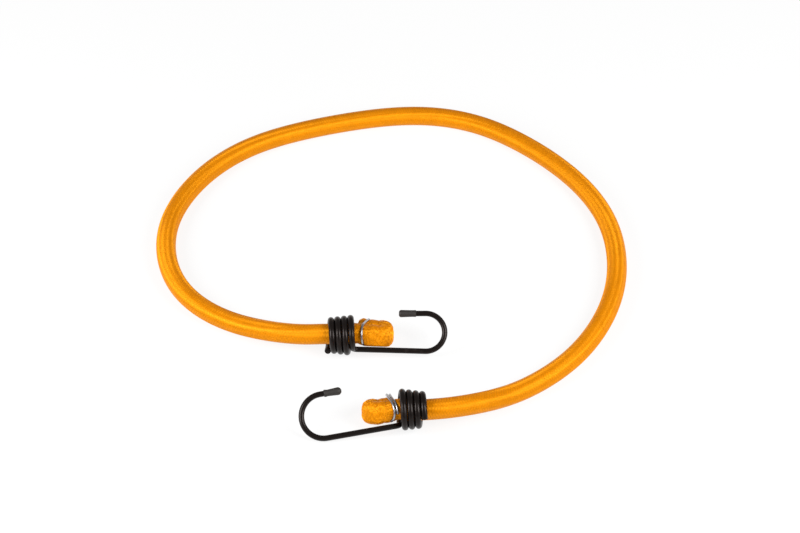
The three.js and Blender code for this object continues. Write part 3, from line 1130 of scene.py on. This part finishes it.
def latex_material():
    """Cream latex, dusted with talc."""
    t = Tree("cream_latex")
    place = t.place()
    dust = t.noise(place, 2600.0, detail=3.0)
    stretch = t.noise(place, 320.0)
    tone = t.math("MULTIPLY_ADD", dust, 0.4, t.math("MULTIPLY", stretch, 0.6))
    t.set(Base_Color=t.colours(tone, rgb(0.60, 0.50, 0.33), rgb(0.82, 0.75, 0.60)))
    t.set(Roughness=t.spread(dust, 0.65, 0.9), Subsurface_Weight=0.1)
    t.bump(dust, 0.00003)
    return t.material


def coating_material():
    """Black coating on steel wire: semi-gloss, with an uneven skin and a few scuffs."""
    t = Tree("black_coating")
    place = t.place()
    skin_grain = t.noise(place, 900.0)
    wear = t.noise(place, 260.0, detail=4.0, roughness=0.6)
    scuffs = t.ranged(wear, 0.60, 0.72, 0.0, 1.0)
    t.set(Base_Color=t.colours(scuffs, rgb(0.0045, 0.0030, 0.0026), rgb(0.011, 0.0082, 0.0074)))
    t.set(Roughness=t.math("MULTIPLY_ADD", scuffs, 0.12, t.spread(skin_grain, 0.30, 0.38)))
    t.set(Specular_IOR_Level=0.17, Specular_Tint=rgb(1.0, 0.84, 0.78))
    t.set(Coat_Weight=0.10, Coat_Roughness=0.16)
    t.bump(skin_grain, 0.000035)
    return t.material


def vinyl_material():
    """Dipped black vinyl: matte, with a fine grain and a little dust."""
    t = Tree("dipped_vinyl")
    place = t.place()
    grain = t.noise(place, 4200.0, detail=3.0)
    dust = t.noise(place, 700.0, detail=3.0)
    t.set(Base_Color=t.colours(dust, rgb(0.0100, 0.0078, 0.0066), rgb(0.024, 0.0195, 0.0170)))
    t.set(Roughness=t.spread(grain, 0.5, 0.68))
    t.bump(grain, 0.00003)
    return t.material


def zinc_material():
    """Bright zinc-plated wire with fine drawing lines along it."""
    t = Tree("bright_zinc")
    length, share = t.surface_place()
    lines = t.noise(t.vector(t.math("MULTIPLY", length, 120), t.math("MULTIPLY", share, 40)), 1.0)
    blotches = t.noise(t.place(), 700.0, detail=3.0)
    t.set(Base_Color=t.colours(blotches, rgb(0.32, 0.32, 0.335), rgb(0.46, 0.46, 0.475)))
    t.set(Metallic=1.0, Roughness=t.spread(lines, 0.22, 0.32))
    t.bump(lines, 0.00001)
    return t.material


def floor_material():
    """White table, mostly its own light, so that shadows on it are faint."""
    t = Tree("white_table")
    tone = t.noise(t.place(), 3.0)
    t.set(Base_Color=t.colours(tone, rgb(0.14, 0.14, 0.14), rgb(0.16, 0.16, 0.16)), Roughness=0.9)
    t.set(Specular_IOR_Level=0.0, Emission_Color=rgb(1.0, 1.0, 1.0), Emission_Strength=0.84)
    return t.material


# ---------------------------------------------------------------- pieces on their bodies


def finish_piece(piece, material, body, slot_name, *nodes):
    piece.data.materials.append(material)
    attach(piece, body)
    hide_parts(*nodes)


orange_braid = cover_material()
cream_latex = latex_material()
black_coating = coating_material()
dipped_vinyl = vinyl_material()
bright_zinc = zinc_material()

finish_piece(free_cord, orange_braid, "root", "cord_cover", "braided_cover")
for letter, hook in hooks.items():
    finish_piece(folded_ends[letter], orange_braid, "root", "cord_cover", "braided_cover")
    body = f"hook_{letter}"
    finish_piece(hook, black_coating, body, "hook_wire", f"hook_{letter}_wire")
    finish_piece(caps[letter], dipped_vinyl, body, "tip_cap", f"tip_cap_{letter}")
    finish_piece(rings[letter], bright_zinc, "root", "clamp_ring", f"clamp_ring_{letter}")
for number, thread in enumerate(threads, start=1):
    node = f"rubber_thread_{number:02d}"
    finish_piece(thread, cream_latex, "root", "rubber_core", node)

# ---------------------------------------------------------------- floor, lights and world

floor_size = 16.0
softbox_width = 0.26
softbox_height = 0.40
softbox_distance = 0.65
softbox_watts = 3.8
ambient_strength = 0.35


def add_floor():
    half = floor_size / 2
    corners = [(-half, -half, 0), (half, -half, 0), (half, half, 0), (-half, half, 0)]
    floor = add_mesh("floor", corners, [(0, 1, 2, 3)], smooth=False)
    floor.data.materials.append(floor_material())


def add_softbox(name, direction):
    data = bpy.data.lights.new(name, "AREA")
    data.shape = "RECTANGLE"
    data.size = softbox_width
    data.size_y = softbox_height
    data.energy = softbox_watts
    light = bpy.data.objects.new(name, data)
    direction = Vector(direction).normalized()
    light.location = camera_target + softbox_distance * direction
    light.rotation_euler = direction.to_track_quat("Z", "Y").to_euler()
    bpy.context.collection.objects.link(light)


def add_world():
    world = bpy.data.worlds.new("studio")
    world.use_nodes = True
    background = world.node_tree.nodes["Background"]
    background.inputs["Color"].default_value = rgb(1.0, 1.0, 1.0)
    background.inputs["Strength"].default_value = ambient_strength
    bpy.context.scene.world = world


add_floor()
add_softbox("softbox_right", (0.70, -0.41, 0.57))
add_softbox("softbox_left", (-0.80, -0.37, 0.50))
add_world()
bpy.context.scene.view_settings.view_transform = "Standard"
